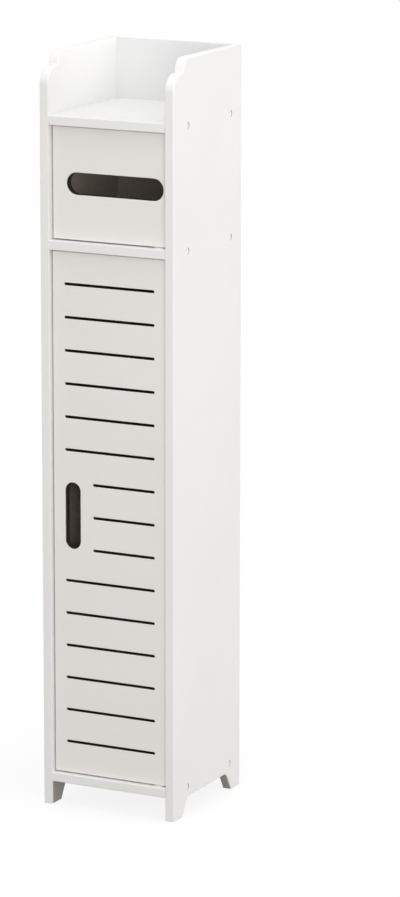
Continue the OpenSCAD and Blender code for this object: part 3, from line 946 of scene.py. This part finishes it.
def nail(place):
    """Dome of radius R sin a and height T cos(0.6 a) to the power 0.6, then rim, shank and point."""
    dome = [(NAIL_HEAD_R * math.sin(a), -HEAD_T * math.cos(0.6 * a) ** 0.6)
            for a in np.radians(np.arange(0, 91, 15))]
    rim = [(NAIL_HEAD_R, -0.1 * HEAD_T), (0.97 * NAIL_HEAD_R, 0), (NAIL_R, 0)]
    point = [(NAIL_R, NAIL_LENGTH - 4 * NAIL_R), (NAIL_R / 4, NAIL_LENGTH), (0, NAIL_LENGTH)]
    return lathe(dome + rim + point, place, (0, -1, 0), "nail", NAIL_STEPS)


shelf_nail_xs = np.linspace(-BAY_HALF + NAIL_EDGE, BAY_HALF - NAIL_EDGE, SHELF_NAILS)
side_nail_zs = np.linspace(nails_lo.z + NAIL_HEAD_R, nails_hi.z - NAIL_HEAD_R, SIDE_NAILS)
nail_places = [(x, back_hi.y, sum(corner.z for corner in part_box(shelf_name)) / 2)
               for shelf_name in SHELVES for x in shelf_nail_xs]
nail_places += [(x, back_hi.y, z) for x in (nails_lo.x + NAIL_HEAD_R, nails_hi.x - NAIL_HEAD_R)
                for z in side_nail_zs]
nails = joined([nail(place) for place in nail_places], "back_panel_nails")
dressed(nails, "back_panel_nails", zinc)
print(len(nail_places), "nails")

# %% [markdown]
# ## Pivots
# Each door turns on two steel pins, one in each end. The buried end of a pin has straight
# knurling that grips the wood. It could be a bump, but as a ripple of the radius round the axis
# it costs one line. The tip turns in a flanged nylon bush, and the flange also keeps the door
# off the shelf.

# %% Pins
KNURLS, KNURL_DEPTH, PIN_STEPS = 24, 0.15 * MM, 96


def pivot_pin(name):
    """r = R less a ripple |sin(n t / 2)| along the buried end, for n knurls; chamfered ends."""
    lo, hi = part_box(name)
    pin_r, length, chamfer = (hi.x - lo.x) / 2, hi.z - lo.z, 0.5 * MM
    smooth, knurl_end = 2 * MM, PIN_SEAT - 4 * MM
    h = np.array([0, 0, chamfer, smooth, smooth + MM, knurl_end, knurl_end + MM,
                  length - chamfer, length, length])[:, None]
    r = np.full((len(h), 1), pin_r)
    r[[0, -1]] = 0
    r[[1, -2]] = pin_r - chamfer
    knurled = ((h > smooth) & (h <= knurl_end)).astype(float)
    t = np.linspace(0, 2 * np.pi, PIN_STEPS, endpoint=False)
    ripple = KNURL_DEPTH * knurled * np.abs(np.sin(KNURLS * t / 2))
    points, faces = ring_surface(spun(r - ripple, h, PIN_STEPS))
    piece = mesh_object(name, along_axis(points, pin_base(name), (0, 0, upright(name))), faces)
    return dressed(piece, name, zinc)


print("a pin has", KNURLS, "knurls")


# %% Bushes, and pins in them
BUSH_BORE_R, BUSH_STEPS = 2.55 * MM, 64
PIVOTS = [f"{bay}_door_{end}" for bay in BAYS for end in ("bottom", "top")]


def bush(name):
    """Closed section of flange, barrel and bore, spun once round; the flange's rim is rounded."""
    lo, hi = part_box(name)
    up = upright(name)
    flange_r, flange_t = (hi.x - lo.x) / 2, hi.z - lo.z - BARREL_LENGTH
    rim, lip, tip = 0.4 * MM, 0.2 * MM, 0.3 * MM
    corner = arc((flange_r - rim, -flange_t + rim), rim, -90, 0)
    mouth = (BUSH_BORE_R + lip, -flange_t)
    profile = [mouth, *map(tuple, corner), (flange_r, 0), (BARREL_R, 0),
               (BARREL_R, BARREL_LENGTH - tip), (BARREL_R - tip, BARREL_LENGTH),
               (BUSH_BORE_R, BARREL_LENGTH), (BUSH_BORE_R, -flange_t + lip), mouth]
    origin = ((lo.x + hi.x) / 2, (lo.y + hi.y) / 2, lo.z + flange_t if up > 0 else hi.z - flange_t)
    return dressed(lathe(profile, origin, (0, 0, up), name, BUSH_STEPS), name, nylon)


for pivot in PIVOTS:
    pin = pivot_pin(f"{pivot}_pin")
    print(f"{pin.name} turns in {bush(f'{pivot}_bush').name}")

# %% [markdown]
# ## Catches
# A small magnetic catch hangs under the shelf above each door. Its nylon housing is a rounded
# block with two ears for screws, which a moulder would draw as two flat shapes of different
# thickness, and so it is made here. Inside, a ferrite magnet lies between two steel pole
# plates, whose edges stand a little out to meet the strike plate on the door.

# %% Housings
BLOCK_W, BLOCK_CORNER, BLOCK_ROUNDS = 14 * MM, 1.5 * MM, (0.2 * MM, 0.6 * MM)
EAR_T, EAR_W, EAR_ROUNDS = 2.5 * MM, 9 * MM, (0.2 * MM, 0.5 * MM)


def catch_housing(bay):
    """Block and ears as two boards lying flat, united, with the pocket and screw holes cut."""
    name = f"{bay}_catch_housing"
    lo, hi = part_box(name)
    middle_x, middle_y = (lo.x + hi.x) / 2, (lo.y + hi.y) / 2
    left, right = middle_x - BLOCK_W / 2, middle_x + BLOCK_W / 2
    block_outline = round_rectangle(left, lo.y, right, hi.y, BLOCK_CORNER)
    ear_outline = long_slot(lo.x, middle_y - EAR_W / 2, hi.x, middle_y + EAR_W / 2)
    flat = ((0, 0, hi.z), (1, 0, 0), (0, 1, 0), (0, 0, -1))
    block = placed(board_surface(block_outline, [], hi.z - lo.z, BLOCK_ROUNDS), *flat, name)
    ears = placed(board_surface(ear_outline, [], EAR_T, EAR_ROUNDS), *flat, "ears")
    magnet_lo, magnet_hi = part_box(f"{bay}_catch_magnet")
    pocket = box_block(magnet_lo - Vector((AIR, 2 * OVER, AIR)), magnet_hi + Vector((AIR, 0, AIR)),
                       "pocket")
    housing = carved(carved(block, [ears], "UNION"), [pocket, *small_screw_holes(ear_screw_places(bay))])
    return dressed(housing, name, nylon)


print(f"a housing's block is {BLOCK_W / MM:.0f} mm wide, its ears {EAR_T / MM:.1f} mm thick")


# %% Magnets
POLE_T = 1.2 * MM


def pole_magnet(bay):
    """Ferrite block between two pole plates, three closed shells in one piece."""
    name = f"{bay}_catch_magnet"
    lo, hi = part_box(name)
    edge, behind = 0.2 * MM, 0.3 * MM
    lower_plate = box_block(lo, (hi.x, hi.y, lo.z + POLE_T), "lower_plate", edge)
    upper_plate = box_block((lo.x, lo.y, hi.z - POLE_T), hi, "upper_plate", edge)
    core = box_block((lo.x, lo.y + behind, lo.z + POLE_T), (hi.x, hi.y, hi.z - POLE_T), "core", edge)
    for part, material in ((lower_plate, zinc), (upper_plate, zinc), (core, magnet_face)):
        part.data.materials.append(material)
    return dressed(joined([core, lower_plate, upper_plate], name), name)


print(f"pole plates are {POLE_T / MM:.1f} mm thick")


# %% Strike plates, and the catches that hold them
PLATE_CORNER, PLATE_ROUNDS = 1.5 * MM, (0.1 * MM, 0.25 * MM)


def strike_plate(bay):
    """Small plate with round corners on the rear of the door."""
    name = f"{bay}_strike_plate"
    lo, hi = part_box(name)
    surface = board_surface(round_rectangle(lo.x, lo.z, hi.x, hi.z, PLATE_CORNER), [], hi.y - lo.y,
                            PLATE_ROUNDS)
    plate = placed(surface, (0, lo.y, 0), (1, 0, 0), (0, 0, 1), (0, 1, 0), name)
    return dressed(carved(plate, small_screw_holes([strike_screw_place(bay)])), name, zinc)


for bay in BAYS:
    catch = [catch_housing(bay), pole_magnet(bay), strike_plate(bay)]
    print("catch:", ", ".join(part.name for part in catch))

# %% [markdown]
# ## Light
# The light is that of a plain studio: broad and soft, a little stronger from the right, so that
# the side is the brightest face and the doors are a shade greyer. One soft panel stands in
# front on the right, one further round lights the side but not the doors, a weak one hangs
# overhead, and the white surroundings do the rest. Surroundings as bright as they look would
# wash the white cabinet out, so they are white to the camera and in reflections, but light it
# with less.

# %% World
AMBIENT = 0.80


def white_where_seen(tree):
    """1 for camera, glossy and transmission rays, 0 for the rays that carry diffuse light."""
    path = tree.nodes.new("ShaderNodeLightPath").outputs
    seen = maths(tree, "MAXIMUM", path["Is Camera Ray"], path["Is Glossy Ray"])
    return maths(tree, "MAXIMUM", seen, path["Is Transmission Ray"])


world = bpy.data.worlds.new("studio")
bpy.context.scene.world = world
world.use_nodes = True
sky = world.node_tree
background = sky.nodes["Background"]
sky.links.new(ramp(sky, white_where_seen(sky), 0, 1, AMBIENT, 1.0), background.inputs["Strength"])
background.inputs["Color"].default_value = (1, 1, 1, 1)
print("ambient level", AMBIENT)


# %% Lamps
RIGHT_WATTS, FRONT_WATTS, TOP_WATTS = 15.8, 27, 10


def soft_panel(name, place, target, size, watts, colour=(1, 1, 1)):
    """Square area light that faces the target."""
    data = bpy.data.lights.new(name, "AREA")
    data.shape, data.size, data.energy, data.color = "SQUARE", size, watts, colour
    lamp = bpy.data.objects.new(name, data)
    lamp.location = place
    lamp.rotation_mode = "QUATERNION"
    lamp.rotation_quaternion = (Vector(place) - Vector(target)).to_track_quat("Z", "Y")
    bpy.context.scene.collection.objects.link(lamp)
    return lamp


soft_panel("right", (2.4, 0.4, 1.2), (0, 0, 0.5), 1.4, RIGHT_WATTS)
soft_panel("front", (1.6, -2.3, 0.9), (0, 0, 0.4), 1.4, FRONT_WATTS, (1.0, 0.97, 0.935))
soft_panel("top", (0.3, -0.5, 2.6), (0, 0, 0.6), 1.4, TOP_WATTS)

# %% [markdown]
# ## Floor
# The floor is pale and plain, a thin slab made as the boards are. Lit like any surface it would
# show its far edge. So to the eye it is mostly white, with enough of a real diffuse surface
# mixed in near the cabinet to keep its soft shadow. For the light that bounces off it onto the
# cabinet it is an ordinary floor, a good deal darker.

# %% Make the floor
FLOOR_HALF = 6.0
SHADOW_SHARE = 0.14
SHADOW_FADE = (0.15, 0.6)  # from and to so many metres off the middle
FLOOR_BOUNCE = (0.24, 0.22, 0.21)
FLOOR_SEEN = (0.95, 0.95, 0.95)


def floor_material():
    """Diffuse for light; seen, white with a share of diffuse that fades out with distance."""
    material, tree, principled = shader("floor")
    tree.nodes.remove(principled)
    diffuse = tree.nodes.new("ShaderNodeBsdfDiffuse")
    tree.links.new(blended(tree, white_where_seen(tree), FLOOR_BOUNCE, FLOOR_SEEN), diffuse.inputs["Color"])
    white = tree.nodes.new("ShaderNodeEmission")
    white.inputs["Strength"].default_value = 1.0
    length = tree.nodes.new("ShaderNodeVectorMath")
    length.operation = "LENGTH"
    tree.links.new(object_place(tree), length.inputs[0])
    flat_white = ramp(tree, length.outputs["Value"], *SHADOW_FADE, 1 - SHADOW_SHARE, 1.0)
    mix = tree.nodes.new("ShaderNodeMixShader")
    tree.links.new(maths(tree, "MULTIPLY", white_where_seen(tree), flat_white), mix.inputs["Fac"])
    tree.links.new(diffuse.outputs["BSDF"], mix.inputs[1])
    tree.links.new(white.outputs["Emission"], mix.inputs[2])
    tree.links.new(mix.outputs["Shader"], tree.nodes["Material Output"].inputs["Surface"])
    return material


slab = board_surface(rectangle(-FLOOR_HALF, -FLOOR_HALF, FLOOR_HALF, FLOOR_HALF), [], MM, SHARP)
floor = placed(slab, (0, 0, 0), (1, 0, 0), (0, 1, 0), (0, 0, -1), "floor")
floor.data.materials.append(floor_material())
print("floor", 2 * FLOOR_HALF, "m across")

# %% [markdown]
# ## Finish
# The view transform stays plain, so that a colour renders about as it was written.

bpy.context.scene.view_settings.view_transform = "Standard"
